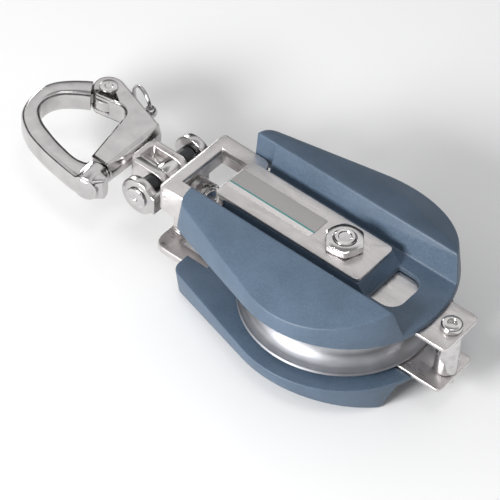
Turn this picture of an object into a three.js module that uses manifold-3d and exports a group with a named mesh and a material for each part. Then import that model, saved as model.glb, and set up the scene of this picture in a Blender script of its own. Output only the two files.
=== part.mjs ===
// Single sheave block with a swivelling toggle head, a snap shackle and a becket.
// +Z is the sheave's axis, +X points to the becket and -X to the shackle. The block lies on its lower cheek.
// Sizes are in millimetres. Places are measured from the middle of the sheave, then everything is lifted.
import * as THREE from 'three';
import { mergeVertices } from 'three/addons/utils/BufferGeometryUtils.js';
import Module from 'manifold-3d';

// Sheave, bearing and axle
const sheaveRadius = 36;
const sheaveWidth = 18;
const lineRadius = 7;
const hubRecess = 0.8;
const hubWidth = sheaveWidth - 2 * hubRecess;
const hubRadius = 21;
const axleRadius = 4;
const sleeveRadius = 11;
const rollerRadius = 2.5;
const rollerLength = 12;
const rollerCount = 14;
const runningGap = 0.3;
const seatGap = 0.1;

// Cheeks
const cheekCover = 5;
const cheekRadius = sheaveRadius + cheekCover;
const cheekClearance = 1.7;
const cheekGap = sheaveWidth + 2 * cheekClearance;
const cheekDepth = 13.5;
const ridgeHeight = cheekGap / 2 + cheekDepth;
const ridgeHalfWidth = 18;
const ridgeLand = 0.8;
const roofSlope = 0.36;
const flankAngle = 16.8;
const flankInset = 2.3;
const cheekFront = cheekRadius + 13.3;
const cheekCornerRadius = 5;
const channelWall = 2.7;
const channelFloor = cheekGap / 2 + channelWall;
const channelHalfWidth = 15;
const slotFrom = 17.6;
const slotTo = 29;
const slotHalfWidth = 9;

// Straps over the cheeks and side plates beside the sheave
const strapFront = sheaveRadius + 13.6;
const strapBack = 13.9;
const strapHalfWidth = 10.3;
const strapThickness = 1.5;
const strapHeight = 8.2;
const strapFace = cheekGap / 2 + strapHeight;
const sidePlateThickness = 1.6;
const sidePlateHalfWidth = 10;
const sidePlateFront = sheaveRadius + 7.5;
const becketPostRadius = 4.2;
const becketClearance = 6.6;
const becketPinAt = sheaveRadius + becketClearance + becketPostRadius;
const becketEnd = becketPinAt + 4.6;

// Head frame
const frameRear = sheaveRadius + 9.4;
const frameLength = 24.1;
const frameFront = frameRear + frameLength;
const frameHalfWidth = 17.4;
const frameTop = strapFace - 3.9;
const framePlate = 2.8;
const windowFront = frameFront - 5.9;
const windowRear = frameRear + 2.4;
const windowHalfWidth = 10.8;
const frameWallFoot = 2.9;
const frameWallRear = frameFront - 13;
const frameWall = 2.5;
const frameFrontWall = 3.1;
const lowerPlateFront = frameFront + 1.7;
const lowerPlateTop = 2.7 - strapFace;
const lowerPlateThickness = 3;
const stemRadius = 4;

// Clevis, toggle and swivel post; the toggle's and the shackle's places are measured from the cross pin
const crossPinAt = frameFront + 10.3;
const crossPinRadius = 2.5;
const clevisInner = 12.9;
const clevisArm = 3.5;
const clevisEyeRadius = 7.4;
const clevisWebFrom = frameFront + 2.2;
const clevisWeb = 2.5;
const toggleHalfWidth = 6.9;
const toggleSide = 3.2;
const toggleWebTo = 12.6;
const toggleHalfHeight = 4.8;
const postRadius = 2.4;

// Snap shackle
const shackleHalfThickness = 5;
const baseFace = toggleWebTo + 1;
const baseTopEdge = baseFace + 2.2;
const pivotAt = [-42.4, 15.9];
const pivotEyeRadius = 6.2;
const tongueHalfThickness = 2.3;
const bowHalfThickness = 4.6;
const bowBevel = 1.3;
const plungerCrossing = -21.9;
const plungerLean = 10.5;
const plungerRadius = 1.9;
const springWire = 0.7;
const springTurns = 6;
const ringRadius = 6.2;
const ringWire = 0.75;

const wasm = await Module();
wasm.setup();

// Geometry helpers

// A closed geometry with shared corners, no slivers at its poles, and faces pointing out.
function closed(geometry) {
  const bare = new THREE.BufferGeometry();
  bare.setAttribute('position', geometry.getAttribute('position'));
  if (geometry.index) bare.setIndex(geometry.index);
  const merged = mergeVertices(bare, 1e-4);
  const point = merged.getAttribute('position');
  const corner = [0, 1, 2].map(() => new THREE.Vector3());
  const kept = [];
  let volume = 0;
  for (let i = 0; i < merged.index.count; i += 3) {
    const [a, b, c] = [0, 1, 2].map((k) => merged.index.getX(i + k));
    if (a === b || b === c || c === a) continue;
    [a, b, c].forEach((v, k) => corner[k].fromBufferAttribute(point, v));
    volume += corner[0].dot(corner[1].clone().cross(corner[2]));
    kept.push(a, b, c);
  }
  if (volume < 0) kept.reverse();
  merged.setIndex(kept);
  return merged;
}

function solid(geometry) {
  const shell = closed(geometry);
  return new wasm.Manifold(new wasm.Mesh({
    numProp: 3,
    vertProperties: new Float32Array(shell.getAttribute('position').array),
    triVerts: new Uint32Array(shell.index.array),
  }));
}

function geometryOf(body) {
  const mesh = body.getMesh();
  const geometry = new THREE.BufferGeometry();
  geometry.setAttribute('position', new THREE.BufferAttribute(new Float32Array(mesh.vertProperties), 3));
  geometry.setIndex(new THREE.BufferAttribute(new Uint32Array(mesh.triVerts), 1));
  return geometry;
}

function box(x0, x1, y0, y1, z0, z1) {
  const geometry = new THREE.BoxGeometry(x1 - x0, y1 - y0, z1 - z0);
  geometry.translate((x0 + x1) / 2, (y0 + y1) / 2, (z0 + z1) / 2);
  return solid(geometry);
}

// A round bar along x, y or z, from one place on that axis to another; sides = 6 makes a hexagon.
function bar(axis, radius, from, to, at = [0, 0], sides = 32, turn = 0) {
  const geometry = new THREE.CylinderGeometry(radius, radius, to - from, sides);
  geometry.rotateY(turn);
  const middle = (from + to) / 2;
  if (axis === 'x') geometry.rotateZ(-Math.PI / 2).translate(middle, at[0], at[1]);
  if (axis === 'y') geometry.translate(at[0], middle, at[1]);
  if (axis === 'z') geometry.rotateX(Math.PI / 2).translate(at[0], at[1], middle);
  return solid(geometry);
}

// A body turned about z from a closed profile of [radius, height] points.
function turned(profile, sides = 48) {
  const points = [...profile, profile[0]].map(([r, z]) => new THREE.Vector2(r, z));
  return solid(new THREE.LatheGeometry(points, sides).rotateX(Math.PI / 2));
}

function shapeOf(points) {
  return new THREE.Shape(points.map(([x, y]) => new THREE.Vector2(x, y)));
}

// An outline in x and y, raised from z0 to z1, with an optional bevel that stays inside it.
function prism(shape, z0, z1, bevel = 0) {
  const geometry = new THREE.ExtrudeGeometry(shape, {
    depth: z1 - z0 - 2 * bevel,
    bevelEnabled: bevel > 0,
    bevelThickness: bevel,
    bevelSize: bevel,
    bevelOffset: -bevel,
    bevelSegments: 2,
    curveSegments: 8,
  });
  return solid(geometry.translate(0, 0, z0 + bevel));
}

// An outline in x and z, run along y from y0 to y1.
function prismAlongY(points, y0, y1) {
  const geometry = new THREE.ExtrudeGeometry(shapeOf(points), { depth: y1 - y0, bevelEnabled: false });
  return solid(geometry.rotateX(Math.PI / 2).translate(0, y1, 0));
}

// An outline in y and z, run along x from x0 to x1.
function prismAlongX(points, x0, x1) {
  const geometry = new THREE.ExtrudeGeometry(shapeOf(points), { depth: x1 - x0, bevelEnabled: false });
  return solid(geometry.rotateX(Math.PI / 2).rotateZ(Math.PI / 2).translate(x0, 0, 0));
}

function arc(x, y, radius, from, to, steps) {
  return Array.from({ length: steps + 1 }, (_, k) => {
    const a = THREE.MathUtils.degToRad(from + ((to - from) * k) / steps);
    return [x + radius * Math.cos(a), y + radius * Math.sin(a)];
  });
}

// A rectangle whose two -x corners and two +x corners have their own radii.
function roundedPlate(x0, x1, halfWidth, lowRadius, highRadius = lowRadius, steps = 6) {
  const low = lowRadius;
  const high = highRadius;
  return shapeOf([
    ...arc(x0 + low, -halfWidth + low, low, 180, 270, steps),
    ...arc(x1 - high, -halfWidth + high, high, 270, 360, steps),
    ...arc(x1 - high, halfWidth - high, high, 0, 90, steps),
    ...arc(x0 + low, halfWidth - low, low, 90, 180, steps),
  ]);
}

// Joins two outlines with the same number of points, one above the other.
function loft(lower, z0, upper, z1) {
  const n = lower.length;
  const position = [...lower.map(([x, y]) => [x, y, z0]), ...upper.map(([x, y]) => [x, y, z1])].flat();
  const cap = THREE.ShapeUtils.triangulateShape(lower.map(([x, y]) => new THREE.Vector2(x, y)), []);
  const faces = [];
  for (const [a, b, c] of cap) faces.push(c, b, a, a + n, b + n, c + n);
  for (let k = 0; k < n; k += 1) {
    const next = (k + 1) % n;
    faces.push(k, next, next + n, k, next + n, k + n);
  }
  const geometry = new THREE.BufferGeometry();
  geometry.setAttribute('position', new THREE.Float32BufferAttribute(position, 3));
  geometry.setIndex(faces);
  return solid(geometry);
}

// Finishes and the group that takes every piece

function finish(color, roughness, metalness) {
  return new THREE.MeshStandardMaterial({ color, roughness, metalness });
}

const mouldedNylon = finish(0x62768e, 0.5, 0);
const polishedSteel = finish(0xd0cccc, 0.15, 1);
const anodised = finish(0xc6c6cf, 0.35, 0.9);
const blackAcetal = finish(0x1e2022, 0.45, 0);
const whiteAcetal = finish(0xe8e6df, 0.4, 0);
const labelFilm = finish(0x8f9290, 0.4, 0.2);

const block = new THREE.Group();

function piece(name, body, material, parent = block) {
  const mesh = new THREE.Mesh(geometryOf(body), material);
  mesh.name = name;
  parent.add(mesh);
}

// The piece and its copy on the other side of the sheave.
function pair(name, body, material) {
  piece(`upper_${name}`, body, material);
  piece(`lower_${name}`, body.mirror([0, 0, 1]), material);
}

const plateTop = cheekGap / 2 + 0.5;
const plateFoot = plateTop - sidePlateThickness;
const plateSeat = plateTop + runningGap;
const plateRoom = sidePlateHalfWidth + runningGap;

// Cheeks: a flared shell with two wings and a channel for the strap between them

function cheekOutline(inset) {
  const radius = cheekRadius - inset;
  const lean = THREE.MathUtils.degToRad(flankAngle);
  const front = -cheekFront + inset / 4;
  const r = cheekCornerRadius;
  const along = (radius - r - Math.sin(lean) * -(front + r)) / Math.cos(lean);
  const corner = [front + r, -along];
  const half = [
    ...arc(corner[0], corner[1], r, 180, 270 - flankAngle, 5),
    ...arc(0, 0, radius, 270 - flankAngle, 360, 24),
  ];
  const mirrored = half.slice(0, -1).reverse().map(([x, y]) => [x, -y]);
  return [...half, ...mirrored];
}

function cheek() {
  const edge = (y) => ridgeHeight - roofSlope * (y - ridgeHalfWidth - ridgeLand);
  const far = cheekRadius + 5;
  const land = ridgeHalfWidth + ridgeLand;
  const roof = [[-far, 0], [far, 0], [far, edge(far)], [land, ridgeHeight], [-land, ridgeHeight],
    [-far, edge(far)]];
  const above = ridgeHeight + 5;
  const flare = (ridgeHalfWidth - channelHalfWidth) / (ridgeHeight - channelFloor);
  const mouth = ridgeHalfWidth + flare * (above - ridgeHeight);
  const channel = [[-channelHalfWidth, channelFloor], [channelHalfWidth, channelFloor],
    [mouth, above], [-mouth, above]];
  const padTop = strapFace - strapThickness - seatGap;
  const padFront = -frameRear + runningGap;
  const pad = [[padFront, cheekGap / 2 + 0.9], [slotFrom, cheekGap / 2 + 0.9], [slotFrom, channelFloor],
    [strapBack, padTop], [padFront, padTop]];
  const long = cheekFront + cheekRadius;
  return loft(cheekOutline(0), cheekGap / 2, cheekOutline(flankInset), ridgeHeight + 1)
    .intersect(prismAlongX(roof, -long, long))
    .subtract(prismAlongX(channel, -long, long))
    .add(prismAlongY(pad, -strapHalfWidth, strapHalfWidth))
    .subtract(box(-long, padFront, -ridgeHalfWidth, ridgeHalfWidth, 0, above))
    .subtract(prism(roundedPlate(slotFrom, slotTo, slotHalfWidth, 0.8, 5.5), 0, above))
    .subtract(box(-long, long, -plateRoom, plateRoom, 0, plateSeat))
    .subtract(bar('z', axleRadius + runningGap, 0, above));
}

pair('cheek', cheek(), mouldedNylon);

// Straps: each lies on its cheek's pad, and its front lip hooks the head frame's crossbar

const crossbarFace = strapFace - strapThickness - runningGap;
const lipRear = windowRear + runningGap;

const strapOutline = roundedPlate(-strapFront, strapBack, strapHalfWidth, 1.6, 2);
const lipHalfWidth = strapHalfWidth - 1.6;
const strap = prism(strapOutline, strapFace - strapThickness, strapFace)
  .add(box(-strapFront, -lipRear, -lipHalfWidth, lipHalfWidth, frameTop - framePlate, strapFace - 0.2))
  .subtract(bar('z', axleRadius + runningGap, 0, strapFace + 1));
pair('strap', strap, polishedSteel);

const labelShape = roundedPlate(-strapFront + 0.8, -11, 4.9, 0.5);
piece('strap_label', prism(labelShape, strapFace + 0.02, strapFace + 0.22), labelFilm);

// Side plates: they lie in the cheeks' inner faces and carry the becket

const plateNose = sidePlateHalfWidth - 0.01;
const plateOutline = roundedPlate(-sidePlateFront, becketEnd, sidePlateHalfWidth, plateNose, 2);
const sidePlate = prism(plateOutline, plateFoot, plateTop)
  .subtract(bar('z', axleRadius + runningGap, 0, plateTop + 1))
  .subtract(bar('z', 2.7, 0, plateTop + 1, [becketPinAt, 0]));
pair('side_plate', sidePlate, polishedSteel);

// Axle bolt and its nut

const nutHeight = 3.4;
const boltHead = 4.2;
const studTop = strapFace + 4.2;
const hexRadius = axleRadius + 3.5;
const hexTurn = THREE.MathUtils.degToRad(8);
piece('axle_bolt', bar('z', axleRadius, -strapFace - seatGap - 0.5, studTop, [0, 0], 32)
  .add(bar('z', hexRadius, -strapFace - seatGap - boltHead, -strapFace - seatGap, [0, 0], 6)), polishedSteel);
const nutSeat = strapFace + seatGap;
piece('axle_nut', bar('z', hexRadius, nutSeat, nutSeat + nutHeight, [0, 0], 6, hexTurn)
  .subtract(bar('z', axleRadius + 0.05, strapFace, studTop + 1)), polishedSteel);

// Sheave: hub, web and a rim with a round groove for the line

const bore = sleeveRadius + 2 * rollerRadius + 0.2;
const halfWidth = sheaveWidth / 2;
const lip = halfWidth - 1.1;
const grooveDepth = lineRadius;
const groove = arc(sheaveRadius + 1.2, 0, grooveDepth + 1.2, 101, 259, 10)
  .map(([r, z]) => [r, (z * lip) / (grooveDepth + 1.2)]);
const rimProfile = [
  [bore, -hubWidth / 2], [hubRadius, -hubWidth / 2], [hubRadius + 0.5, -halfWidth],
  [sheaveRadius - 0.5, -halfWidth],
  [sheaveRadius, -halfWidth + 0.5],
  ...groove.reverse(),
  [sheaveRadius, halfWidth - 0.5], [sheaveRadius - 0.5, halfWidth], [hubRadius + 0.5, halfWidth],
  [hubRadius, hubWidth / 2],
  [bore, hubWidth / 2],
];
piece('sheave', turned(rimProfile, 64), anodised);

const sleeveHalf = plateFoot - seatGap;
piece('bearing_sleeve', bar('z', sleeveRadius, -sleeveHalf, sleeveHalf, [0, 0], 48)
  .subtract(bar('z', axleRadius + 0.05, -sleeveHalf - 1, sleeveHalf + 1)), polishedSteel);

const pitchRadius = sleeveRadius + rollerRadius + 0.1;
const pocketHalf = rollerLength / 2 + 0.2;
let cage = turned([[pitchRadius - 1, -hubWidth / 2 + 0.4], [pitchRadius + 1, -hubWidth / 2 + 0.4],
  [pitchRadius + 1, hubWidth / 2 - 0.4], [pitchRadius - 1, hubWidth / 2 - 0.4]]);
for (let k = 0; k < rollerCount; k += 1) {
  const a = (2 * Math.PI * k) / rollerCount;
  const at = [pitchRadius * Math.cos(a), pitchRadius * Math.sin(a)];
  cage = cage.subtract(bar('z', rollerRadius + 0.15, -pocketHalf, pocketHalf, at, 16));
  const roller = bar('z', rollerRadius, -rollerLength / 2, rollerLength / 2, at, 14);
  piece(`bearing_roller_${k + 1}`, roller, polishedSteel);
}
piece('roller_cage', cage, whiteAcetal);

const washerFoot = hubWidth / 2 + seatGap;
const washerRadius = hubRadius - 1;
pair('thrust_washer', turned([[sleeveRadius + runningGap, washerFoot], [washerRadius, washerFoot],
  [washerRadius, plateFoot - runningGap], [sleeveRadius + runningGap, plateFoot - runningGap]]), blackAcetal);

// Becket: a post between the side plates, held by a bolt and a domed nut

const becketAt = [becketPinAt, 0];
piece('becket_post', bar('z', becketPostRadius, -plateFoot + seatGap, plateFoot - seatGap, becketAt, 32)
  .subtract(bar('z', 2.6, -plateFoot, plateFoot, becketAt)), polishedSteel);
const domeProfile = [[0, 0], [3.9, 0], [3.9, 1.2], [3.2, 2.4], [1.8, 3], [0, 3.1]];
const dome = turned(domeProfile, 32).translate([becketPinAt, 0, plateTop + seatGap]);
piece('becket_bolt', bar('z', 2.5, -plateTop - 2.4, plateTop + 0.6, becketAt).add(dome), polishedSteel);
piece('becket_nut', bar('z', 4, -plateTop - 3.2, -plateTop - seatGap, becketAt, 6)
  .subtract(bar('z', 2.55, -plateTop - 4, -plateTop, becketAt)), polishedSteel);

// Head frame: an open-topped box with a window, a front wall, and a lower plate with its own window

function frameWindow(z0, z1) {
  return box(-windowFront, -windowRear, -windowHalfWidth, windowHalfWidth, z0, z1);
}

function headFrame() {
  const plateFrom = frameTop - framePlate;
  const rounded = 3;
  const profile = [
    ...arc(-frameFront + rounded, frameTop - rounded, rounded, 180, 90, 5),
    [-frameRear, frameTop], [-frameRear, plateFrom], [-frameWallRear, plateFrom],
    [-frameWallRear, frameWallFoot], [-frameFront, frameWallFoot],
  ];
  const plan = roundedPlate(-frameFront, -frameRear, frameHalfWidth, 2.5, 4);
  const outline = prism(plan, frameWallFoot, frameTop);
  const hollow = box(-frameFront + frameFrontWall, -frameRear + 1, -frameHalfWidth + frameWall,
    frameHalfWidth - frameWall, 0, plateFrom);
  const crossbar = box(-windowRear, -frameRear, -strapHalfWidth, strapHalfWidth, plateFrom, crossbarFace);
  const lowerFrom = lowerPlateTop - lowerPlateThickness;
  const lowerOutline = roundedPlate(-lowerPlateFront, -frameRear, frameHalfWidth, 5, 4);
  const lowerPlate = prism(lowerOutline, lowerFrom, lowerPlateTop)
    .subtract(frameWindow(lowerFrom - 1, lowerPlateTop + 1));
  const lowerBar = box(-windowRear, -frameRear, -windowHalfWidth - 2, windowHalfWidth + 2,
    -crossbarFace, -plateFrom);
  const strapRoom = box(-windowRear - 1, -frameRear + 1, -windowHalfWidth, windowHalfWidth,
    lowerFrom - 1, -crossbarFace);
  return outline
    .intersect(prismAlongY(profile, -frameHalfWidth - 1, frameHalfWidth + 1))
    .subtract(hollow)
    .subtract(frameWindow(frameWallFoot - 1, frameTop + 1))
    .add(crossbar)
    .add(box(-frameFront, -frameFront + frameFrontWall, -8, 8, lowerPlateTop - 0.5, frameTop - rounded))
    .add(lowerPlate.subtract(strapRoom))
    .add(lowerBar)
    .subtract(bar('x', stemRadius + runningGap, -frameFront - 1, -frameFront + frameFrontWall + 1));
}

piece('head_frame', headFrame(), polishedSteel);

// Clevis: its stem turns in the frame's front wall and is held by a slotted nut inside the window

const clevisOuter = clevisInner + clevisArm;
const pinAxis = [-crossPinAt, 0];
const stemEnd = frameFront - 9.9;
const wallInside = frameFront - frameFrontWall;

function clevis() {
  const armHalf = 3.8;
  let body = box(-clevisWebFrom - clevisWeb, -clevisWebFrom, -clevisOuter, clevisOuter, -armHalf, armHalf)
    .add(bar('x', 6.5, -clevisWebFrom, -frameFront - runningGap))
    .add(bar('x', stemRadius, -clevisWebFrom, -stemEnd));
  for (const side of [-1, 1]) {
    const from = side < 0 ? -clevisOuter : clevisInner;
    body = body
      .add(bar('y', clevisEyeRadius, from, from + clevisArm, pinAxis, 40))
      .add(box(-crossPinAt, -clevisWebFrom, from, from + clevisArm, -armHalf, armHalf));
  }
  return body.subtract(bar('y', crossPinRadius + 0.05, -clevisOuter - 1, clevisOuter + 1, pinAxis));
}

piece('head_clevis', clevis(), polishedSteel);

let headNut = bar('x', 6.2, -wallInside + seatGap, -stemEnd - 0.6, [0, 0], 36)
  .subtract(bar('x', stemRadius + 0.05, -wallInside - 1, -stemEnd + 1));
for (let k = 0; k < 3; k += 1) {
  const slot = box(-stemEnd - 2.4, -stemEnd + 1, -8, 8, -0.9, 0.9);
  headNut = headNut.subtract(slot.rotate([60 * k + 30, 0, 0]));
}
piece('head_nut', headNut, polishedSteel);

const pinHead = 0.9;
const pinHeadRadius = crossPinRadius + 1.8;
let crossPin = bar('y', crossPinRadius, -clevisOuter - seatGap - 0.2, clevisOuter + seatGap + 0.2, pinAxis);
for (const side of [-1, 1]) {
  const from = side * (clevisOuter + seatGap);
  const to = from + side * pinHead;
  crossPin = crossPin.add(bar('y', pinHeadRadius, Math.min(from, to), Math.max(from, to), pinAxis));
}
piece('cross_pin', crossPin, polishedSteel);

const bushInner = toggleHalfWidth + runningGap;
const bushOuter = clevisInner - runningGap;
const bush = bar('y', crossPinRadius + 1.5, bushInner, bushOuter, pinAxis)
  .subtract(bar('y', crossPinRadius + 0.15, bushInner - 1, bushOuter + 1, pinAxis));
piece('far_pin_bush', bush, blackAcetal);
piece('near_pin_bush', bush.mirror([0, 1, 0]), blackAcetal);

// Toggle: a U-shaped strap on the cross pin, with the swivel post through its web

const toggleWeb = 2.4;
const toggleInner = toggleHalfWidth - toggleSide;
const pinCentre = [0, 0];
const hanging = new THREE.Group();
hanging.position.x = -crossPinAt;
block.add(hanging);

function toggleStrap() {
  const outer = roundedPlate(-toggleWebTo, toggleHalfHeight, toggleHalfWidth, 3, 0.01);
  const open = toggleHalfHeight + 1;
  const inner = roundedPlate(-toggleWebTo + toggleWeb, open, toggleInner, 1.2, 0.01);
  const side = [
    ...arc(0, 0, toggleHalfHeight, 90, -90, 10),
    [-toggleWebTo, -toggleHalfHeight], [-toggleWebTo, toggleHalfHeight],
  ];
  return prism(outer, -toggleHalfHeight, toggleHalfHeight)
    .subtract(prism(inner, -toggleHalfHeight - 1, toggleHalfHeight + 1))
    .intersect(prismAlongY(side, -toggleHalfWidth - 1, toggleHalfWidth + 1))
    .subtract(bar('y', crossPinRadius + 0.15, -toggleHalfWidth - 1, toggleHalfWidth + 1, pinCentre))
    .subtract(bar('x', postRadius + 0.05, -toggleWebTo - 1, -toggleWebTo + toggleWeb + 1));
}

piece('toggle_strap', toggleStrap(), polishedSteel, hanging);

const postHeadFrom = baseFace + 3.8;
const postHead = 1.6;
const postEyeRadius = crossPinRadius + 2;
const postEyeHalf = toggleInner - runningGap;
const swivelPost = bar('x', postRadius, -postHeadFrom, 0)
  .add(bar('x', 3.9, -postHeadFrom, -postHeadFrom + postHead))
  .add(bar('y', postEyeRadius, -postEyeHalf, postEyeHalf, pinCentre, 36))
  .subtract(bar('y', crossPinRadius + 0.05, -postEyeHalf - 1, postEyeHalf + 1, pinCentre));
piece('swivel_post', swivelPost, polishedSteel, hanging);

// Snap shackle body: a base with the plunger's bore, a swivel socket, and a forked arm to the bow's pivot

const lean = THREE.MathUtils.degToRad(plungerLean);

// Turns a body made along y at x = 0 to the plunger's own line.
function onPlungerLine(body) {
  return body.rotate([0, 0, plungerLean]).translate([plungerCrossing, 0, 0]);
}

// A round bar on the plunger's line, from one distance along it to another.
function plungerBar(radius, from, to, sides = 28) {
  return onPlungerLine(bar('y', radius, from, to, [0, 0], sides));
}

const boreEnd = -16;
const chamberFrom = -3.8;
const capFrom = 12;
const capTo = 16;

function shackleBody() {
  const [px, py] = pivotAt;
  const outline = shapeOf([
    [-baseFace, -15.1], [-22.9, -15.1], [-27.2, 5.5],
    ...arc(-32.8, 6.4, 5.3, 0, 100, 6),
    ...arc(px, py, pivotEyeRadius, 262, 70, 12),
    [-baseFace, 12.8],
  ]);
  const half = shackleHalfThickness;
  const side = [[-60, -half], [-baseTopEdge, -half], [-baseFace, -1.6], [-baseFace, 1.6],
    [-baseTopEdge, half], [-60, half]];
  return prism(outline, -half, half, 0.6)
    .intersect(prismAlongY(side, -60, 60))
    .subtract(bar('z', pivotEyeRadius + 0.5, -tongueHalfThickness - runningGap,
      tongueHalfThickness + runningGap, pivotAt, 40))
    .subtract(bar('z', 2.6, -half - 1, half + 1, pivotAt))
    .subtract(bar('x', postRadius + runningGap, -postHeadFrom, -baseFace + 1))
    .subtract(bar('x', 3.9 + runningGap, -postHeadFrom - runningGap, -postHeadFrom + postHead + runningGap))
    .subtract(plungerBar(plungerRadius + 0.2, boreEnd - 3, 0))
    .subtract(plungerBar(3.3, chamberFrom, capTo + 8));
}

piece('shackle_body', shackleBody(), polishedSteel, hanging);

// Bow: a bent hook from the pivot round to the boss that the plunger locks

const bowOuter = [[-49.8, 15.6], [-55.9, 10.4], [-60.6, 4], [-61.7, -4], [-58.1, -14.6],
  [-49.8, -21], [-39.7, -24.2], [-30.9, -25.8], [-21.2, -26.9]];
const bowInner = [[-26.7, -18.9], [-35.9, -17.4], [-42.6, -15.4], [-49.1, -12.8], [-54.2, -8.6],
  [-55.4, -3.4], [-53.6, 1.6], [-49.4, 5.6], [-45, 8.6]];

// Points along a smooth line through the given ones.
function smooth(points, steps) {
  const curve = new THREE.SplineCurve(points.map(([x, y]) => new THREE.Vector2(x, y)));
  return curve.getPoints(steps).map((p) => [p.x, p.y]);
}

function bow() {
  const outline = shapeOf([
    ...smooth(bowOuter, 26), [-15.6, -26.5], [-12.2, -24.6], [-10.8, -21.4], [-11.8, -18.4], [-14.2, -16.9],
    [-18.7, -16.7], ...smooth(bowInner, 24), pivotAt,
  ]);
  const tongue = tongueHalfThickness;
  const [px, py] = pivotAt;
  const neck = shapeOf([[px, py + 4], [px - 3.4, py - 6], [px - 9.5, py - 9], [px - 12, py - 3.5]]);
  const thin = bar('z', pivotEyeRadius - 0.1, -tongue, tongue, pivotAt, 40).add(prism(neck, -tongue, tongue));
  const bossFrom = -26.5;
  const bossTo = boreEnd - 0.5;
  return prism(outline, -bowHalfThickness, bowHalfThickness, bowBevel)
    .subtract(bar('z', pivotEyeRadius + 0.9, -10, 10, pivotAt, 40))
    .add(thin)
    .add(plungerBar(5.4, bossFrom, bossTo, 36))
    .subtract(plungerBar(3.9, bossFrom - 1, bossFrom + 1.3))
    .subtract(plungerBar(plungerRadius + 0.3, bossFrom - 1, bossTo + 1))
    .subtract(bar('z', 2.6, -10, 10, pivotAt));
}

piece('shackle_bow', bow(), polishedSteel, hanging);

const rivetHead = 0.7;
const rivetSeat = shackleHalfThickness + 0.05;
piece('bow_rivet', bar('z', 2.45, -rivetSeat - 0.2, rivetSeat + 0.2, pivotAt)
  .add(bar('z', 3.5, rivetSeat, rivetSeat + rivetHead, pivotAt))
  .add(bar('z', 3.5, -rivetSeat - rivetHead, -rivetSeat, pivotAt)), polishedSteel, hanging);

// Plunger with its spring, cap and pull ring

const plungerTip = -23.5;
const collarFrom = -3.5;
const collarTo = -1.6;
const rodRadius = 1.4;
const ballAt = 20.6;
const ballRadius = 2.6;
const ringHole = ringWire + 0.65;

const ball = onPlungerLine(solid(new THREE.SphereGeometry(ballRadius, 20, 14)).translate([0, ballAt, 0]));
piece('plunger', plungerBar(plungerRadius, plungerTip, collarFrom + 0.5)
  .add(plungerBar(2.9, collarFrom, collarTo))
  .add(plungerBar(rodRadius, collarTo - 0.5, ballAt))
  .add(ball)
  .subtract(onPlungerLine(bar('z', ringHole, -4, 4, [0, ballAt], 16))), polishedSteel, hanging);

const capHole = plungerBar(rodRadius + 0.25, capFrom - 1, capTo + 1);
piece('plunger_cap', plungerBar(3.2, capFrom, capTo).subtract(capHole), polishedSteel, hanging);

class SpringLine extends THREE.Curve {
  getPoint(t, target = new THREE.Vector3()) {
    const from = collarTo + springWire / 2 + 0.1;
    const to = capFrom - springWire / 2 - 0.1;
    const a = 2 * Math.PI * springTurns * t;
    const radius = 2.9 - springWire / 2;
    return target.set(radius * Math.cos(a), from + (to - from) * t, radius * Math.sin(a));
  }
}
const coil = new THREE.ExtrudeGeometry(shapeOf(arc(0, 0, springWire / 2, 0, 300, 5)), {
  steps: springTurns * 10,
  extrudePath: new SpringLine(),
  bevelEnabled: false,
});
piece('plunger_spring', onPlungerLine(solid(coil)), polishedSteel, hanging);

const ringShape = turned(arc(ringRadius, 0, ringWire, 0, 324, 9), 32);
const ballX = plungerCrossing - ballAt * Math.sin(lean);
const ballY = ballAt * Math.cos(lean);
const ringTurn = 161;
const [ringX, ringY] = arc(ballX, ballY, ringRadius, ringTurn, ringTurn, 1)[0];
piece('pull_ring', ringShape.rotate([90, 0, ringTurn]).translate([ringX, ringY, 0]), polishedSteel, hanging);

// The block lies on the lower cheek's ridges, with the origin under the middle of its box
const bounds = new THREE.Box3().setFromObject(block);
block.position.set(-(bounds.min.x + bounds.max.x) / 2, 0, -bounds.min.z);

const part = new THREE.Group();
part.add(block);
export default part;
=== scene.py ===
from math import cos, pi, radians, sin

import bmesh
import bpy
from mathutils import Matrix, Vector


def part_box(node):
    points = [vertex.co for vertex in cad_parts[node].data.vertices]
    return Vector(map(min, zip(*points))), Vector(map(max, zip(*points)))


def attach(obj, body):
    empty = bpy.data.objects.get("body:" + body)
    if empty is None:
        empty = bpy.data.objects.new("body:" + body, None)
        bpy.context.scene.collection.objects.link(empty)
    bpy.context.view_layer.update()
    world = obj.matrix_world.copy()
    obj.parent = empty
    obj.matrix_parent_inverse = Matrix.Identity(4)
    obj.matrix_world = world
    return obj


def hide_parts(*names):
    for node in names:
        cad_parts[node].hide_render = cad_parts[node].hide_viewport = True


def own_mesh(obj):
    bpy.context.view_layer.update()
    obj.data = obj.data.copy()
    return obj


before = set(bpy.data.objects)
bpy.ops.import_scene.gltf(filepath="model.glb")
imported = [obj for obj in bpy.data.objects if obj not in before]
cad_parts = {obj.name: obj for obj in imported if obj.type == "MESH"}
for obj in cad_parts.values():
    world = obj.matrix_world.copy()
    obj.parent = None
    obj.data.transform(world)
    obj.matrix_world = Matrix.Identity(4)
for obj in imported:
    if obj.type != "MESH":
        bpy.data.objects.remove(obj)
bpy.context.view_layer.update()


def boxMiddle(node):
    low, high = (Vector(corner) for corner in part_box(node))
    return (low + high) / 2


sheaveMiddle = boxMiddle("sheave")  # every place below is measured from here, in millimetres


def at(x, y, z):
    return sheaveMiddle + Vector((x, y, z)) / 1000


def placeOf(node):
    return (boxMiddle(node) - sheaveMiddle) * 1000


def toLinear(hexColour):
    channels = [int(hexColour[i:i + 2], 16) / 255 for i in (1, 3, 5)]
    return (*[c / 12.92 if c <= 0.04045 else ((c + 0.055) / 1.055) ** 2.4 for c in channels], 1)


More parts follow.
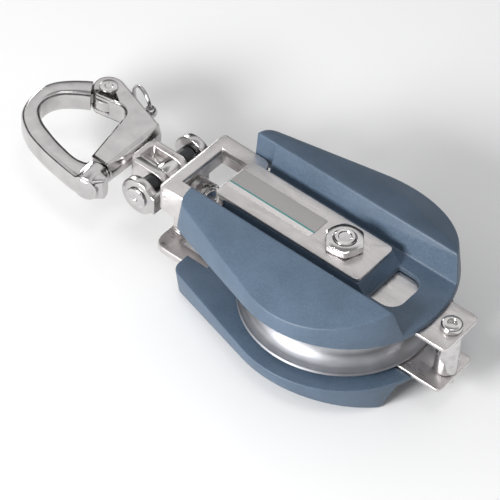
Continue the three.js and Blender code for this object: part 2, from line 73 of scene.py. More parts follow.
def addNode(owner, kind, links=None, stops=(), **settings):
    # owner is a material, a world or a tree; a setting is the node's own or one of its inputs, and stops are
    # a ramp's places and colours
    tree = getattr(owner, "node_tree", owner)
    node = tree.nodes.new(kind)
    for name, value in settings.items():
        if hasattr(node, name):
            setattr(node, name, value)
        else:
            node.inputs[name.replace("_", " ")].default_value = value
    for name, source in (links or {}).items():
        tree.links.new(source, node.inputs[name])
    for spare in stops[2:]:
        node.color_ramp.elements.new(0.5)
    for k, (position, colour) in enumerate(stops):
        node.color_ramp.elements[k].position = position
        node.color_ramp.elements[k].color = colour
    return node


def newMaterial(name, **settings):
    material = bpy.data.materials.new(name)
    material.use_nodes = True
    shader = material.node_tree.nodes["Principled BSDF"]
    for key, value in settings.items():
        shader.inputs[key.replace("_", " ")].default_value = value
    place = addNode(material, "ShaderNodeTexCoord").outputs["Object"]
    return material, shader, place


def grey(value):
    return (value, value, value, 1)


def mouldedNylon(name, spec):
    # glass-filled nylon from a spark-textured mould: a fine pebble, slight mottling, paler rubbed edges
    material, shader, place = newMaterial(name, IOR=1.53)
    links = material.node_tree.links
    grain = addNode(material, "ShaderNodeTexNoise", {"Vector": place}, Scale=1000 / spec["pebble"],
                    Detail=3.0)
    cloud = addNode(material, "ShaderNodeTexNoise", {"Vector": place}, Scale=1000 / spec["cloud"],
                    Detail=4.0)
    mottle = addNode(material, "ShaderNodeMath", {0: cloud.outputs["Fac"], 1: grain.outputs["Fac"]},
                     operation="ADD")
    halved = addNode(material, "ShaderNodeMath", {0: mottle.outputs[0]}, operation="MULTIPLY")
    halved.inputs[1].default_value = 0.5  # the mean of the two
    tone = addNode(material, "ShaderNodeValToRGB", {"Fac": halved.outputs[0]}, stops=[
        (0.38, toLinear(spec["dark"])), (0.62, toLinear(spec["light"]))])
    edge = addNode(material, "ShaderNodeBevel", samples=4, Radius=spec["wear"] / 1000)
    surface = addNode(material, "ShaderNodeNewGeometry")
    facing = addNode(material, "ShaderNodeVectorMath", {0: edge.outputs[0], 1: surface.outputs["Normal"]},
                     operation="DOT_PRODUCT")
    rubbed = addNode(material, "ShaderNodeValToRGB", {"Fac": facing.outputs["Value"]}, stops=[
        (0.9, grey(0.6)), (0.995, grey(0))])
    colour = addNode(material, "ShaderNodeMix",
                     {"Factor": rubbed.outputs["Color"], 6: tone.outputs["Color"]}, data_type="RGBA")
    colour.inputs[7].default_value = toLinear(spec["rubbed"])
    links.new(colour.outputs[2], shader.inputs["Base Color"])
    gloss = addNode(material, "ShaderNodeValToRGB", {"Fac": grain.outputs["Fac"]}, stops=[
        (0.3, grey(spec["smooth"])), (0.75, grey(spec["rough"]))])
    links.new(gloss.outputs["Color"], shader.inputs["Roughness"])
    bump = addNode(material, "ShaderNodeBump", {"Height": grain.outputs["Fac"], "Normal": edge.outputs[0]},
                   Strength=0.35, Distance=spec["depth"] / 1000)
    links.new(bump.outputs["Normal"], shader.inputs["Normal"])
    return material


def polishedMetal(name, spec):
    # polished stainless steel: a near mirror with faint hairlines, cloudy buffing and softly rounded edges
    material, shader, place = newMaterial(name, Metallic=1.0)
    links = material.node_tree.links
    stretched = addNode(material, "ShaderNodeMapping", {"Vector": place}, Scale=spec["grainStretch"])
    hairline = addNode(material, "ShaderNodeTexNoise", {"Vector": stretched.outputs[0]},
                       Scale=1000 / spec["hairline"], Detail=2.0)
    cloud = addNode(material, "ShaderNodeTexNoise", {"Vector": place}, Scale=1000 / spec["cloud"],
                    Detail=3.0)
    tone = addNode(material, "ShaderNodeValToRGB", {"Fac": cloud.outputs["Fac"]}, stops=[
        (0.3, toLinear(spec["dark"])), (0.7, toLinear(spec["light"]))])
    links.new(tone.outputs["Color"], shader.inputs["Base Color"])
    mixed = addNode(material, "ShaderNodeMath", {0: cloud.outputs["Fac"], 1: hairline.outputs["Fac"]},
                    operation="ADD")
    low = spec["roughness"]
    gloss = addNode(material, "ShaderNodeValToRGB", {"Fac": mixed.outputs[0]}, stops=[
        (0.5, grey(low * 0.6)), (1.0, grey(low * 1.7))])
    links.new(gloss.outputs["Color"], shader.inputs["Roughness"])
    edge = addNode(material, "ShaderNodeBevel", samples=4, Radius=spec["edge"] / 1000)
    bump = addNode(material, "ShaderNodeBump",
                   {"Height": hairline.outputs["Fac"], "Normal": edge.outputs[0]},
                   Strength=0.25, Distance=spec["depth"] / 1000)
    links.new(bump.outputs["Normal"], shader.inputs["Normal"])
    return material


nylonSpec = {"pebble": 0.7, "cloud": 14.0, "wear": 0.5, "depth": 0.16, "smooth": 0.36, "rough": 0.54,
             "dark": "#495A6C", "light": "#55677B", "rubbed": "#7B8B9E"}
steelSpec = {"roughness": 0.21, "hairline": 0.4, "cloud": 6.0, "edge": 0.3, "depth": 0.006,
             "grainStretch": (0.08, 1.0, 1.0), "dark": "#D3CFCE", "light": "#E4E0DF"}
castSpec = {"roughness": 0.12, "hairline": 2.2, "cloud": 7.0, "edge": 0.4, "depth": 0.008,
            "grainStretch": (1.0, 1.0, 1.0), "dark": "#BFBCBD", "light": "#D2CFCF"}
brightSpec = {"roughness": 0.1, "hairline": 0.5, "cloud": 3.0, "edge": 0.2, "depth": 0.004,
              "grainStretch": (1.0, 1.0, 0.1), "dark": "#C4C2C2", "light": "#DDDBDB"}
nylonMaterial = mouldedNylon("mouldedNylon", nylonSpec)
plateMaterial = polishedMetal("polishedStainlessPlate", steelSpec)
castMaterial = polishedMetal("polishedCastStainless", castSpec)
boltMaterial = polishedMetal("turnedStainless", brightSpec)

anodisedSpec = {"ringPitch": 0.9, "cloud": 8.33, "depth": 0.01, "smooth": 0.42, "rough": 0.5,
                "dark": "#A5A6AB", "light": "#B6B7BC"}


def anodisedAluminium(spec):
    # clear anodised aluminium, turned on a lathe: soft sheen with fine rings about the axle
    material, shader, place = newMaterial("anodisedAluminium", Metallic=1.0)
    links = material.node_tree.links
    centred = addNode(material, "ShaderNodeMapping", {"Vector": place}, Location=-sheaveMiddle)
    rings = addNode(material, "ShaderNodeTexWave", {"Vector": centred.outputs[0]}, wave_type="RINGS",
                    rings_direction="Z", Scale=1000 / spec["ringPitch"] / 6.28, Distortion=0.4, Detail=2.0)
    cloud = addNode(material, "ShaderNodeTexNoise", {"Vector": place}, Scale=1000 / spec["cloud"],
                    Detail=3.0)
    tone = addNode(material, "ShaderNodeValToRGB", {"Fac": cloud.outputs["Fac"]}, stops=[
        (0.3, toLinear(spec["dark"])), (0.7, toLinear(spec["light"]))])
    links.new(tone.outputs["Color"], shader.inputs["Base Color"])
    gloss = addNode(material, "ShaderNodeValToRGB", {"Fac": rings.outputs["Fac"]}, stops=[
        (0.0, grey(spec["smooth"])), (1.0, grey(spec["rough"]))])
    links.new(gloss.outputs["Color"], shader.inputs["Roughness"])
    bump = addNode(material, "ShaderNodeBump", {"Height": rings.outputs["Fac"]}, Strength=0.05,
                   Distance=spec["depth"] / 1000)
    links.new(bump.outputs["Normal"], shader.inputs["Normal"])
    return material


acetalSpec = {"marksPerMm": 1.4, "depth": 0.02, "roughness": 0.38}


def machinedAcetal(name, dark, light, spec):
    # machined acetal: slightly waxy, with faint tool marks
    material, shader, place = newMaterial(name, Roughness=spec["roughness"])
    links = material.node_tree.links
    marks = addNode(material, "ShaderNodeTexNoise", {"Vector": place}, Scale=1000 * spec["marksPerMm"],
                    Detail=2.0)
    tone = addNode(material, "ShaderNodeValToRGB", {"Fac": marks.outputs["Fac"]}, stops=[
        (0.3, toLinear(dark)), (0.7, toLinear(light))])
    links.new(tone.outputs["Color"], shader.inputs["Base Color"])
    bump = addNode(material, "ShaderNodeBump", {"Height": marks.outputs["Fac"]}, Strength=0.3,
                   Distance=spec["depth"] / 1000)
    links.new(bump.outputs["Normal"], shader.inputs["Normal"])
    return material


def printedFilm(spec):
    # satin film, pale up to one thin coloured line and grey past it, under a clear top coat
    material, shader, place = newMaterial("printedFilm", Roughness=0.35, Coat_Weight=0.5,
                                          Coat_Roughness=0.15)
    links = material.node_tree.links
    axes = addNode(material, "ShaderNodeSeparateXYZ", {"Vector": place})
    reach = spec["reach"]
    across = addNode(material, "ShaderNodeMapRange", {"Value": axes.outputs["Y"]}, From_Min=-reach / 1000,
                     From_Max=reach / 1000)
    lineAt, halfLine = (spec["line"] + reach) / (2 * reach), spec["lineWidth"] / (4 * reach)
    stripe = addNode(material, "ShaderNodeValToRGB", {"Fac": across.outputs["Result"]}, stops=[
        (0.0, toLinear(spec["clear"])), (lineAt - halfLine, toLinear(spec["teal"])),
        (lineAt + halfLine, toLinear(spec["grey"]))])
    stripe.color_ramp.interpolation = "CONSTANT"
    fleck = addNode(material, "ShaderNodeTexNoise", {"Vector": place}, Scale=1000 * spec["flecksPerMm"],
                    Detail=2.0)
    mottle = addNode(material, "ShaderNodeMix", {6: stripe.outputs["Color"], 7: fleck.outputs["Fac"]},
                     data_type="RGBA", blend_type="MULTIPLY", Factor=0.25)
    links.new(mottle.outputs[2], shader.inputs["Base Color"])
    return material


filmSpec = {"line": -2.9, "lineWidth": 0.7, "reach": 30, "flecksPerMm": 2.2,
            "clear": "#D2CECD", "grey": "#9A9796", "teal": "#3F8584"}
sheaveMaterial = anodisedAluminium(anodisedSpec)
blackMaterial = machinedAcetal("blackAcetal", "#17191B", "#24272A", acetalSpec)
whiteMaterial = machinedAcetal("whiteAcetal", "#DDDAD2", "#EDEAE3", acetalSpec)
filmMaterial = printedFilm(filmSpec)
print("materials made")


def finishPiece(name, mesh, material, body, nodes, smoothAngle=32):
    data = bpy.data.meshes.new(name)
    mesh.to_mesh(data)
    mesh.free()
    piece = bpy.data.objects.new(name, data)
    bpy.context.scene.collection.objects.link(piece)
    data.materials.append(material)
    data.shade_smooth()
    data.set_sharp_from_angle(angle=radians(smoothAngle))
    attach(piece, body)
    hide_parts(*nodes)
    return piece


def copyOf(node):
    # a node's loose triangles, merged, with its flat faces made whole
    mesh = bmesh.new()
    mesh.from_mesh(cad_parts[node].data)
    bmesh.ops.remove_doubles(mesh, verts=mesh.verts, dist=2e-6)
    bmesh.ops.dissolve_limit(mesh, angle_limit=radians(0.6), verts=mesh.verts, edges=mesh.edges)
    return mesh


slotSpec = {"from": 17, "to": 29.6, "halfWidth": 9.6}


def nearSlot(edge, spec):
    # the drain slots' short edges stay crisp, and the material rounds them
    places = [(vert.co - sheaveMiddle) * 1000 for vert in edge.verts]
    return all(spec["from"] < place.x < spec["to"] and abs(place.y) < spec["halfWidth"] for place in places)


def soften(mesh, width, shortest=0.6):
    # bevels the sharp edges longer than shortest, in millimetres
    edges = [edge for edge in mesh.edges
             if edge.is_manifold and edge.calc_face_angle(0) > radians(30)
             and edge.calc_length() > shortest / 1000 and not nearSlot(edge, slotSpec)]
    bmesh.ops.bevel(mesh, geom=edges, offset=width / 1000, segments=3, profile=0.5, affect="EDGES",
                    clamp_overlap=False)
    bmesh.ops.triangulate(mesh, faces=[face for face in mesh.faces if len(face.verts) > 4])
    return mesh


def ringsToMesh(rings, closedLoop):
    # joins rings of points, one after another; a ring of one point is a pole
    mesh = bmesh.new()
    made = [[mesh.verts.new(point) for point in ring] for ring in rings]
    pairs = list(zip(made, made[1:]))
    if closedLoop:
        pairs.append((made[-1], made[0]))
    for lower, upper in pairs:
        count = max(len(lower), len(upper))
        for i in range(count):
            j = (i + 1) % count
            corners = []
            for corner in (lower[i % len(lower)], lower[j % len(lower)],
                           upper[j % len(upper)], upper[i % len(upper)]):
                if corner not in corners:
                    corners.append(corner)
            if len(corners) > 2:
                mesh.faces.new(corners)
    bmesh.ops.recalc_face_normals(mesh, faces=mesh.faces)
    return mesh


def turn(profile, sides=64):
    # a closed profile of (radius, height) in millimetres, turned about z; heights on the axis close it
    rings = []
    for radius, height in profile:
        steps = sides if radius > 1e-6 else 1
        rings.append([Vector((radius * cos(2 * pi * k / sides), radius * sin(2 * pi * k / sides), height))
                      for k in range(steps)])
    onAxis = profile[0][0] < 1e-6 and profile[-1][0] < 1e-6
    return ringsToMesh(rings, not onAxis)


def hexBody(spec, z0, z1, topChamfer=True):
    # a hexagon whose corners are cut back by a cone, as on a turned nut, with an open hole along its axis
    sides = 72
    coneShare, coneSlope, lead = 0.97, 0.58, 0.35
    flat = spec["acrossFlats"] / 2

    def ring(radius, height):
        return [Vector((radius * cos(a), radius * sin(a), height)) for a in angles]

    def rim(height, sign):
        points = []
        for a in angles:
            local = (a - radians(spec["turn"])) % (pi / 3) - pi / 6
            reach = flat / cos(local)
            drop = max(0, reach - flat * coneShare) * coneSlope
            points.append(Vector((reach * cos(a), reach * sin(a), height - sign * drop)))
        return points

    angles = [2 * pi * k / sides for k in range(sides)]
    hole = spec["hole"]
    foot = [ring(hole + lead, z0), ring(flat * coneShare, z0), rim(z0, -1)]
    top = [rim(z1, 1), ring(flat * coneShare, z1)] if topChamfer else [rim(z1, 0)]
    mouth = [ring(hole + lead, z1), ring(hole, z1 - lead)]
    return ringsToMesh([ring(hole, z0 + lead), *foot, *top, *mouth], True)


def joined(*meshes):
    whole = bmesh.new()
    for mesh in meshes:
        data = bpy.data.meshes.new("scratch")
        mesh.to_mesh(data)
        mesh.free()
        whole.from_mesh(data)
        bpy.data.meshes.remove(data)
    return whole


def placed(mesh, direction=(0, 0, 1), origin=(0, 0, 0)):
    # stands a mesh made along z in millimetres on its real line
    turnTo = Vector((0, 0, 1)).rotation_difference(Vector(direction)).to_matrix().to_4x4()
    scale = Matrix.Scale(0.001, 4)
    mesh.transform(Matrix.Translation(at(*origin)) @ turnTo @ scale)
    return mesh


def barProfile(radius, z0, z1, chamfer=0.3):
    return [(0, z0), (radius - chamfer, z0), (radius, z0 + chamfer), (radius, z1 - chamfer),
            (radius - chamfer, z1), (0, z1)]


def ringProfile(inner, outer, z0, z1, chamfer=0.2):
    return [(inner, z0 + chamfer), (inner + chamfer, z0), (outer - chamfer, z0), (outer, z0 + chamfer),
            (outer, z1 - chamfer), (outer - chamfer, z1), (inner + chamfer, z1), (inner, z1 - chamfer)]


def rounded(r, z, radius, fromAngle, toAngle, steps=5):
    angles = [radians(fromAngle + (toAngle - fromAngle) * k / steps) for k in range(steps + 1)]
    return [(r + radius * cos(a), z + radius * sin(a)) for a in angles]


steelSlot = "polished_stainless"

# pressed and moulded pieces keep their sizes and get rounded edges
softEdges = {
    "upper_cheek": ("block", nylonMaterial, "moulded_nylon", 0.45),
    "lower_cheek": ("block", nylonMaterial, "moulded_nylon", 0.45),
    "upper_strap": ("block", plateMaterial, steelSlot, 0.3, 0.4),
    "lower_strap": ("block", plateMaterial, steelSlot, 0.3, 0.4),
    "upper_side_plate": ("block", plateMaterial, steelSlot, 0.3, 0.4),
    "lower_side_plate": ("block", plateMaterial, steelSlot, 0.3, 0.4),
    "strap_label": ("block", filmMaterial, "label_film", 0.05),
    "head_frame": ("block", plateMaterial, steelSlot, 0.45),
    "roller_cage": ("bearing", whiteMaterial, "white_acetal", 0.1),
    "head_clevis": ("head", castMaterial, steelSlot, 0.45),
    "head_nut": ("head", boltMaterial, steelSlot, 0.1),
    "toggle_strap": ("toggle", plateMaterial, steelSlot, 0.4),
    "swivel_post": ("toggle", boltMaterial, steelSlot, 0.2),
    "shackle_body": ("shackle", castMaterial, steelSlot, 0.6),
    "plunger": ("plunger", boltMaterial, steelSlot, 0.12),
}
for node, (body, material, slot, width, *shortest) in softEdges.items():
    finishPiece("fine_" + node, soften(copyOf(node), width, *shortest), material, body, [node])
print("pressed and moulded pieces made")

# sheave: a wide round groove with rolled lips and a shallow recess in each face
sheaveSpec = {"radius": 36.0, "half": 9.0, "bore": 16.25, "hubHalf": 8.2, "hubEdge": 21.4,
              "recessFrom": 27.8, "recessTo": 32.2, "recessDepth": 0.35,
              "grooveCentre": 37.2, "grooveRadius": 8.2, "lip": 1.1}


def sheaveProfile(spec):
    half, hubHalf, bore, hubEdge = (spec[key] for key in ("half", "hubHalf", "bore", "hubEdge"))
    floor = half - spec["recessDepth"]
    face = [(bore, hubHalf - 0.4), (bore + 0.4, hubHalf), (hubEdge - 0.8, hubHalf), (hubEdge, half - 0.1),
            (hubEdge + 0.4, half), (spec["recessFrom"], half), (spec["recessFrom"] + 0.4, floor),
            (spec["recessTo"] - 0.4, floor), (spec["recessTo"], half),
            *rounded(spec["radius"] - 0.6, half - 0.6, 0.6, 90, 0)]
    groove = rounded(0, 0, 1, 101, 259, 36)
    lip = half - spec["lip"]
    hollow = [(spec["grooveCentre"] + c * spec["grooveRadius"], s * lip) for c, s in groove]
    return [*face, *hollow, *[(r, -z) for r, z in reversed(face)]]


sheave = placed(turn(sheaveProfile(sheaveSpec), 128))
finishPiece("fine_sheave", sheave, sheaveMaterial, "sheave", ["sheave"])

# axle: a hexagon nut and the bolt whose end stands above it
nutSpec = {"acrossFlats": 12.95, "hole": 4.06, "turn": 8, "foot": 19.0, "top": 22.4}
boltSpec = {"acrossFlats": 12.95, "hole": 3.6, "turn": 0, "foot": -23.2, "top": -19.0}
studSpec = {"radius": 4, "foot": -19.2, "top": 23.1, "core": 3.8}


def studProfile(spec):
    # the thread's end: a groove, a chamfer and a shallow dimple
    r, top = spec["radius"], spec["top"]
    return [(0, spec["foot"]), (r, spec["foot"]), (r, top - 0.6), (r - 0.15, top - 0.5),
            (r - 0.15, top - 0.35), (r - 0.5, top), (r - 1.5, top), (r - 1.8, top - 0.4), (0, top - 0.5)]


axleNut = placed(hexBody(nutSpec, nutSpec["foot"], nutSpec["top"]))
finishPiece("fine_axle_nut", axleNut, boltMaterial, "block", ["axle_nut"])
headCore = barProfile(studSpec["core"], boltSpec["foot"] + 0.2, boltSpec["top"] - 0.1)
boltHead = hexBody(boltSpec, boltSpec["foot"], boltSpec["top"], False)
axleBolt = joined(placed(turn(studProfile(studSpec), 48)), placed(boltHead), placed(turn(headCore, 48)))
finishPiece("fine_axle_bolt", axleBolt, boltMaterial, "block", ["axle_bolt"])

# becket: a sleeve between the side plates, a round-headed bolt with a hexagon socket, and a nut
becketSpec = {"post": 4.2, "hole": 2.6, "postHalf": 9.4, "shank": 2.5, "shankFrom": -13.6, "shankTo": 11.5,
              "seat": 11.3, "head": 3.9, "headHeight": 2.6, "socket": 1.6, "nutFoot": -14.4}
becketNutSpec = {"acrossFlats": 6.9, "hole": 2.55, "turn": 0}
becketX = placeOf("becket_post").x


def socketHead(spec):
    head, top, socket = spec["head"], spec["headHeight"], spec["socket"]
    dome = [(0, 0), (head - 0.2, 0), (head, 0.25), *rounded(head - 1, top - 1, 1, 0, 80, 4),
            (socket + 0.2, top), (socket, top - 0.25), (socket, 1.2), (0, 1.0)]
    return turn(dome, 36)


sleeve = turn(ringProfile(becketSpec["hole"], becketSpec["post"], -becketSpec["postHalf"],
                          becketSpec["postHalf"], 0.4), 48)
finishPiece("fine_becket_post", placed(sleeve, origin=(becketX, 0, 0)), boltMaterial, "block",
            ["becket_post"])
shank = turn(barProfile(becketSpec["shank"], becketSpec["shankFrom"], becketSpec["shankTo"]), 32)
becketBolt = joined(placed(socketHead(becketSpec), origin=(becketX, 0, becketSpec["seat"])),
                    placed(shank, origin=(becketX, 0, 0)))
finishPiece("fine_becket_bolt", becketBolt, boltMaterial, "block", ["becket_bolt"])
becketNut = hexBody(becketNutSpec, becketSpec["nutFoot"], -becketSpec["seat"])
finishPiece("fine_becket_nut", placed(becketNut, origin=(becketX, 0, 0)), boltMaterial, "block",
            ["becket_nut"])

# bearing: inner sleeve, washers, and the rollers placed round their pitch circle by a node tree
bearingSpec = {"bore": 4.05, "sleeve": 11, "sleeveHalf": 9.4, "washerFrom": 11.3, "washerTo": 20,
               "washerFoot": 8.3, "washerTop": 9.2}
rollerSpec = {"count": 14, "pitch": 13.6, "radius": 2.5, "length": 12.0}

innerSleeve = turn(ringProfile(bearingSpec["bore"], bearingSpec["sleeve"], -bearingSpec["sleeveHalf"],
                               bearingSpec["sleeveHalf"], 0.3), 64)
finishPiece("fine_bearing_sleeve", placed(innerSleeve), boltMaterial, "block", ["bearing_sleeve"])
washerProfile = ringProfile(bearingSpec["washerFrom"], bearingSpec["washerTo"], bearingSpec["washerFoot"],
                            bearingSpec["washerTop"], 0.15)
for side, name in ((1, "upper_thrust_washer"), (-1, "lower_thrust_washer")):
    washer = turn([(r, side * z) for r, z in washerProfile], 64)
    finishPiece("fine_" + name, placed(washer), blackMaterial, "block", [name])


def treeInput(tree, name, kind, value):
    socket = tree.interface.new_socket(name=name, in_out="INPUT", socket_type=kind)
    socket.default_value = value
    return socket.identifier


def newTree(name, inputs):
    # a node tree with named inputs, and the value for each input's identifier
    tree = bpy.data.node_groups.new(name, "GeometryNodeTree")
    values = {treeInput(tree, label, kind, value): value for label, (kind, value) in inputs.items()}
    tree.interface.new_socket(name="Geometry", in_out="OUTPUT", socket_type="NodeSocketGeometry")
    return tree, values


def closeTree(tree, geometry, material):
    real = addNode(tree, "GeometryNodeRealizeInstances", {"Geometry": geometry})
    finish = addNode(tree, "GeometryNodeSetMaterial", {"Geometry": real.outputs["Geometry"]},
                     Material=material)
    addNode(tree, "NodeGroupOutput", {"Geometry": finish.outputs["Geometry"]})


def bakeTree(tree, values, name):
    holder = bpy.data.objects.new(name, bpy.data.meshes.new(name))
    bpy.context.scene.collection.objects.link(holder)
    modifier = holder.modifiers.new("nodes", "NODES")
    modifier.node_group = tree
    for identifier, value in values.items():
        modifier[identifier] = value
    evaluated = holder.evaluated_get(bpy.context.evaluated_depsgraph_get())
    data = bpy.data.meshes.new_from_object(evaluated)
    bpy.data.objects.remove(holder)
    mesh = bmesh.new()
    mesh.from_mesh(data)
    bpy.data.meshes.remove(data)
    return mesh


def rollerTree(spec):
    tree, values = newTree("rollerRing", {"Count": ("NodeSocketInt", spec["count"]),
                                          "Pitch": ("NodeSocketFloat", spec["pitch"] / 1000),
                                          "Radius": ("NodeSocketFloat", spec["radius"] / 1000),
                                          "Length": ("NodeSocketFloat", spec["length"] / 1000)})
    sizes = addNode(tree, "NodeGroupInput").outputs
    circle = addNode(tree, "GeometryNodeMeshCircle", {"Vertices": sizes["Count"], "Radius": sizes["Pitch"]})
    roller = addNode(tree, "GeometryNodeMeshCylinder", {"Radius": sizes["Radius"], "Depth": sizes["Length"]},
                     Vertices=24)
    copies = addNode(tree, "GeometryNodeInstanceOnPoints", {"Points": circle.outputs["Mesh"],
                                                            "Instance": roller.outputs["Mesh"]})
    closeTree(tree, copies.outputs["Instances"], boltMaterial)
    return tree, values


rollers = bakeTree(*rollerTree(rollerSpec), "rollerRing")
rollers.transform(Matrix.Translation(sheaveMiddle))
finishPiece("fine_bearing_rollers", rollers, boltMaterial, "bearing",
            [f"bearing_roller_{k + 1}" for k in range(rollerSpec["count"])])
print("sheave, axle and bearing made")

# head: the cross pin with its flush heads, and the bushes beside the toggle
pinSpec = {"radius": 2.5, "head": 4.3, "seat": 16.5, "height": 0.9, "round": 0.4, "dimple": 1.2}
bushSpec = {"bore": 2.65, "radius": 4, "from": 7.2, "to": 12.6}
pinX = placeOf("cross_pin").x


def headedPin(spec):
    # a pin with a round head at each end, and a shallow dimple in each head
    head, seat, dimple = spec["head"], spec["seat"], spec["dimple"]
    outer = seat + spec["height"]
    half = [(spec["radius"], seat), (head - 0.15, seat), (head, seat + 0.15),
            *rounded(head - spec["round"], outer - spec["round"], spec["round"], 0, 90, 3),
            (dimple, outer), (dimple - 0.3, outer - 0.25), (0, outer - 0.3)]
    return turn([*[(r, -z) for r, z in reversed(half)], *half], 40)


crossPin = placed(headedPin(pinSpec), (0, 1, 0), (pinX, 0, 0))
finishPiece("fine_cross_pin", crossPin, boltMaterial, "head", ["cross_pin"])
for side, name in ((-1, "near_pin_bush"), (1, "far_pin_bush")):
    low, high = sorted((side * bushSpec["from"], side * bushSpec["to"]))
    bush = placed(turn(ringProfile(bushSpec["bore"], bushSpec["radius"], low, high, 0.35), 40), (0, 1, 0),
                  (pinX, 0, 0))
    finishPiece("fine_" + name, bush, blackMaterial, "head", [name])

# snap shackle: the bow, whose outer and inner edges are lists of points in step with each other
plungerSpec = {"crossing": -101.7, "lean": 10.5}
plungerFoot = Vector((plungerSpec["crossing"], 0, 0))
plungerLine = Vector((-sin(radians(plungerSpec["lean"])), cos(radians(plungerSpec["lean"])), 0))
bowPivot = placeOf("bow_rivet")
bowSpec = {
    "halfThickness": 4.6, "roundness": 0.4, "eye": 6.1, "eyeHole": 2.6, "eyeHalf": 2.3, "neckHalf": 2.25,
    "outer": [(-129.6, 15.6), (-135.7, 10.4), (-140.4, 4), (-141.4, -4), (-137.9, -14.6), (-129.6, -21),
              (-119.5, -24.2), (-110.7, -25.8), (-101, -26.9), (-94.6, -26.1), (-90.8, -22.2)],
    "inner": [(-124.8, 8.6), (-129.2, 5.6), (-133.4, 1.6), (-135.2, -3.4), (-134, -8.6), (-128.9, -12.8),
              (-122.4, -15.4), (-115.7, -17.4), (-106.5, -18.9), (-98.5, -16.9), (-91.7, -18.6)],
}


def smoothPoint(points, t):
    i = min(int(t), len(points) - 2)
    f = t - i
    a, b, c, d = (Vector(points[max(0, min(len(points) - 1, i + k))]) for k in (-1, 0, 1, 2))
    slope, bend, twist = c - a, 2 * a - 5 * b + 4 * c - d, 3 * b - a - 3 * c + d
    return 0.5 * (2 * b + slope * f + bend * f * f + twist * f ** 3)


def bowMesh(spec):
    # sections between the two edges, each a rounded rectangle
    stations = 80
    sections = 32

    def squared(value):
        return abs(value) ** spec["roundness"] * (1 if value >= 0 else -1)

    rings = []
    for k in range(stations + 1):
        t = (len(spec["outer"]) - 1) * k / stations
        outer, inner = smoothPoint(spec["outer"], t), smoothPoint(spec["inner"], t)
        middle = (outer + inner) / 2
        reach = (outer - inner) / 2
        ring = []
        for step in range(sections):
            a = 2 * pi * step / sections
            point = middle + reach * squared(cos(a))
            ring.append(Vector((point.x, point.y, spec["halfThickness"] * squared(sin(a)))))
        rings.append(ring)
    ends = [sum(rings[end], Vector()) / sections for end in (0, -1)]
    return ringsToMesh([[ends[0]], *rings, [ends[1]]], False)


def neckMesh(spec, pivot):
    # the thin web that joins the bow to its eye
    outline = [(-1, 4.4), (-3.9, -5), (-9.5, -8.5), (-11, -4.5)]
    half = spec["neckHalf"]
    neck = bmesh.new()
    rows = [[neck.verts.new((pivot.x + x, pivot.y + y, z)) for x, y in outline] for z in (-half, half)]
    neck.faces.new(rows[0])
    neck.faces.new(rows[1])
    for k in range(4):
        neck.faces.new((rows[0][k], rows[0][(k + 1) % 4], rows[1][(k + 1) % 4], rows[1][k]))
    bmesh.ops.recalc_face_normals(neck, faces=neck.faces)
    return neck


# the boss at the bow's end takes the plunger, with a shallow cup in its face
bossProfile = [(2.2, -16.5), (4.5, -16.5), *rounded(4.5, -17.4, 0.9, 90, 0),
               *rounded(4.7, -25.8, 0.7, 0, -90), (4.2, -26.5), (3.9, -26.3), (3.8, -25.4), (2.2, -25.2)]
eyeProfile = ringProfile(bowSpec["eyeHole"], bowSpec["eye"], -bowSpec["eyeHalf"], bowSpec["eyeHalf"], 0.2)
bow = joined(placed(bowMesh(bowSpec)), placed(turn(bossProfile, 48), plungerLine, plungerFoot),
             placed(turn(eyeProfile, 48), origin=(bowPivot.x, bowPivot.y, 0)),
             placed(neckMesh(bowSpec, bowPivot)))
finishPiece("fine_shackle_bow", bow, castMaterial, "bow", ["shackle_bow"], 40)

# the rivet that the bow turns on, and the cap that holds the spring in
rivetSpec = {"radius": 2.45, "head": 3.5, "seat": 5.05, "height": 0.7, "round": 0.3, "dimple": 1.6}
capSpec = {"bore": 1.65, "radius": 3.2, "from": 12, "to": 16}

rivet = placed(headedPin(rivetSpec), origin=(bowPivot.x, bowPivot.y, 0))
finishPiece("fine_bow_rivet", rivet, boltMaterial, "shackle", ["bow_rivet"])
cap = turn(ringProfile(capSpec["bore"], capSpec["radius"], capSpec["from"], capSpec["to"], 0.3), 40)
finishPiece("fine_plunger_cap", placed(cap, plungerLine, plungerFoot), boltMaterial, "shackle",
            ["plunger_cap"])

springSpec = {"turns": 6.0, "from": -1.15, "to": 11.55, "radius": 2.55, "wire": 0.35, "travel": 8.0}


def springTree(spec):
    height = spec["to"] - spec["from"]
    tree, values = newTree("plungerSpring", {"Turns": ("NodeSocketFloat", spec["turns"]),
                                             "Radius": ("NodeSocketFloat", spec["radius"] / 1000),
                                             "Height": ("NodeSocketFloat", height / 1000),
                                             "Wire": ("NodeSocketFloat", spec["wire"] / 1000)})
    sizes = addNode(tree, "NodeGroupInput").outputs
    coil = addNode(tree, "GeometryNodeCurveSpiral",
                   {"Rotations": sizes["Turns"], "Start Radius": sizes["Radius"],
                    "End Radius": sizes["Radius"], "Height": sizes["Height"]}, Resolution=28)
    wire = addNode(tree, "GeometryNodeCurvePrimitiveCircle", {"Radius": sizes["Wire"]}, Resolution=10)
    tube = addNode(tree, "GeometryNodeCurveToMesh", {"Curve": coil.outputs["Curve"],
                                                     "Profile Curve": wire.outputs["Curve"]}, Fill_Caps=True)
    closeTree(tree, tube.outputs["Mesh"], boltMaterial)
    return tree, values


spring = bakeTree(*springTree(springSpec), "plungerSpring")
spring.transform(Matrix.Scale(1000, 4))
spring = placed(spring, plungerLine, plungerFoot + plungerLine * springSpec["from"])
coil = finishPiece("fine_plunger_spring", spring, boltMaterial, "shackle", ["plunger_spring"])
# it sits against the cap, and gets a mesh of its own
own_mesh(coil)

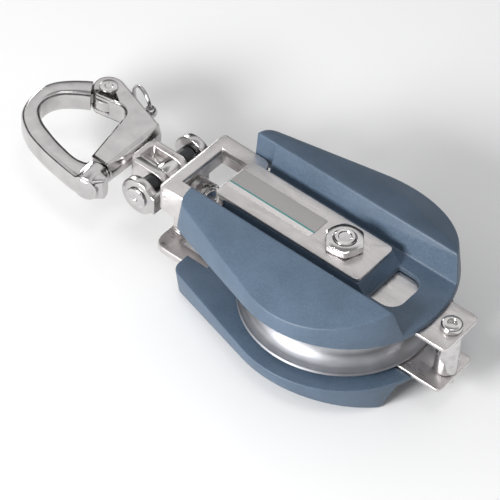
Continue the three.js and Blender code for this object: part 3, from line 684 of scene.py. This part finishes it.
ringSpec = {"radius": 6.2, "wire": 0.75, "turn": 161, "ballAt": 20.6}
tyre = turn(rounded(ringSpec["radius"], 0, ringSpec["wire"], 0, 330, 11), 72)
ringWay = Vector((cos(radians(ringSpec["turn"])), sin(radians(ringSpec["turn"])), 0))
ringAxis = (-ringWay.y, ringWay.x, 0)
ringMiddle = plungerFoot + plungerLine * ringSpec["ballAt"] + ringWay * ringSpec["radius"]
finishPiece("fine_pull_ring", placed(tyre, ringAxis, ringMiddle), boltMaterial, "ring", ["pull_ring"])
print("head and shackle made")


def addFloor():
    mesh = bmesh.new()
    bmesh.ops.create_grid(mesh, x_segments=1, y_segments=1, size=3)
    data = bpy.data.meshes.new("floor")
    mesh.to_mesh(data)
    mesh.free()
    floor = bpy.data.objects.new("floor", data)
    bpy.context.scene.collection.objects.link(floor)
    paper = newMaterial("palePaper", Roughness=0.9, Base_Color=toLinear("#F4F4F4"))
    data.materials.append(paper[0])


def addLight(name, place, target, size, watts):
    light = bpy.data.lights.new(name, "AREA")
    light.shape = "RECTANGLE"
    light.size, light.size_y = size
    light.energy = watts
    lamp = bpy.data.objects.new(name, light)
    bpy.context.scene.collection.objects.link(lamp)
    lamp.location = place
    lamp.rotation_euler = (target - lamp.location).to_track_quat("-Z", "Y").to_euler()


addFloor()
middle = at(-45, 0, 0)
addLight("keySoftbox", Vector((-0.15, -1.0, 0.5)), middle, (0.5, 0.3), 15)
addLight("topSoftbox", Vector((0.2, -0.1, 1.2)), middle, (0.4, 0.25), 1.2)
addLight("backStrip", Vector((-0.9, 0.5, 0.3)), middle, (0.06, 0.5), 1.5)

# the room's brightness by the sine of the height above the horizon
roomSpec = [(0.0, 0.25), (0.1, 0.03), (0.5, 0.03), (0.6, 0.85), (0.8, 1.0), (0.88, 0.3), (1.0, 0.35)]


def addStudio(spec):
    # a pale room with a dark band near the horizon, for polished steel to mirror
    world = bpy.data.worlds.new("studio")
    bpy.context.scene.world = world
    world.use_nodes = True
    way = addNode(world, "ShaderNodeTexCoord").outputs["Generated"]
    height = addNode(world, "ShaderNodeSeparateXYZ", {"Vector": way})
    room = addNode(world, "ShaderNodeValToRGB", {"Fac": height.outputs["Z"]},
                   stops=[(position, grey(value)) for position, value in spec])
    background = world.node_tree.nodes["Background"]
    world.node_tree.links.new(room.outputs["Color"], background.inputs["Color"])


addStudio(roomSpec)
bpy.context.scene.view_settings.view_transform = "Standard"

cameraSpec = {"azimuth": 36.84, "elevation": 46.403, "roll": 3.835, "lens": 181.6,
              "right": -31.444, "up": 11.113, "back": 877.873}


def addCamera(spec):
    azimuth, elevation, roll = (radians(spec[key]) for key in ("azimuth", "elevation", "roll"))
    back = Vector((sin(azimuth) * cos(elevation), -cos(azimuth) * cos(elevation), sin(elevation)))
    level = Vector((cos(azimuth), sin(azimuth), 0))
    upright = back.cross(level)
    right = cos(roll) * level + sin(roll) * upright
    up = cos(roll) * upright - sin(roll) * level
    data = bpy.data.cameras.new("camera")
    data.lens = spec["lens"]
    data.sensor_width = 36
    data.clip_end = 10
    camera = bpy.data.objects.new("camera", data)
    bpy.context.scene.collection.objects.link(camera)
    aim = Matrix((right, up, back)).transposed().to_4x4()
    place = at(*(right * spec["right"] + up * spec["up"] + back * spec["back"]))
    camera.matrix_world = Matrix.Translation(place) @ aim
    bpy.context.scene.camera = camera


addCamera(cameraSpec)
print("scene ready")
